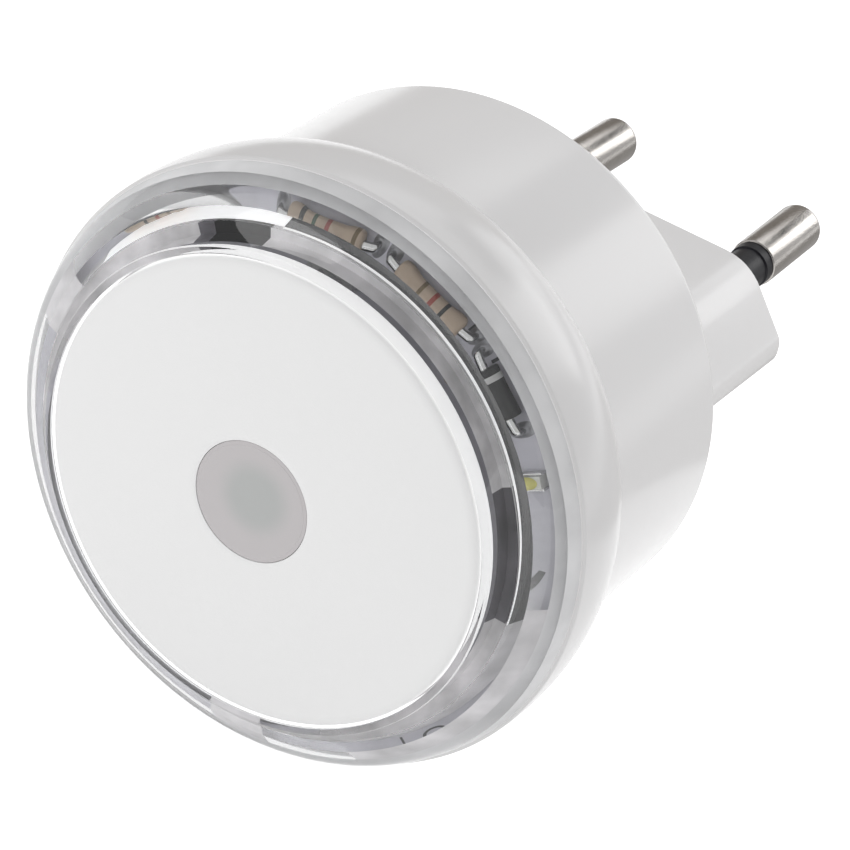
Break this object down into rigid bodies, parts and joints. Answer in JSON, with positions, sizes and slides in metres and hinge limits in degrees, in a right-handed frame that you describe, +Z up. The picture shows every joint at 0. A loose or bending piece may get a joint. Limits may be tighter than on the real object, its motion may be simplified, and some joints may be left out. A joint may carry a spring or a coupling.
{
  "type": "plug in night light",
  "caption": "Round white plug in night light with a clear light ring round a satin front disc, a dusk sensor window and a two pin European plug on its back.",
  "frame": {"origin": "centre of the plug's engagement face, the flat that meets the socket", "axes": "+Y along the pins, into the wall socket; the light faces -Y; +Z up; the pins stand side by side along X"},
  "size_m": [0.0488, 0.0699, 0.0488],
  "materials": {
    "white_gloss": "gloss moulded plastic",
    "white_satin": "satin moulded plastic",
    "frosted_grey": "frosted translucent plastic",
    "clear_plastic": "clear polished plastic",
    "nickel": "nickel plated, faint lengthwise brushing",
    "black_sleeve": "satin black plastic",
    "board_cream": "pale lacquered circuit board",
    "resistor_tan": "glazed, with colour bands",
    "black_epoxy": "moulded epoxy",
    "led_yellow": "phosphor coated",
    "film_yellow": "dipped film capacitor case",
    "sleeve_navy": "shrunk plastic sleeve over aluminium",
    "zener_glass": "orange tinted glass",
    "sensor_grey": "resin",
    "wire_brown": "smooth insulation",
    "wire_blue": "smooth insulation",
    "screw_steel": "zinc plated steel"
  },
  "bodies": {
    "root": {"front_disc": "white_satin", "sensor_window": "frosted_grey", "clear_cover": "clear_plastic", "front_housing": "white_gloss", "rear_housing": "white_gloss", "left_pin": "nickel", "right_pin": "nickel", "left_sleeve": "black_sleeve", "right_sleeve": "black_sleeve", "live_wire": "wire_brown", "neutral_wire": "wire_blue", "circuit_board": "board_cream", "photosensor": "sensor_grey", "sensor_shroud": "black_epoxy", "leds": "led_yellow", "upper_resistor": "resistor_tan", "side_resistor": "resistor_tan", "left_resistor": "resistor_tan", "front_diode": "black_epoxy", "film_capacitor": "film_yellow", "smoothing_capacitor": "sleeve_navy", "discharge_resistor": "resistor_tan", "fusible_resistor": "resistor_tan", "bridge_diodes": "black_epoxy", "zener_diode": "zener_glass", "switch_transistor": "black_epoxy", "board_screws": "screw_steel"}
  },
  "joints": []
}
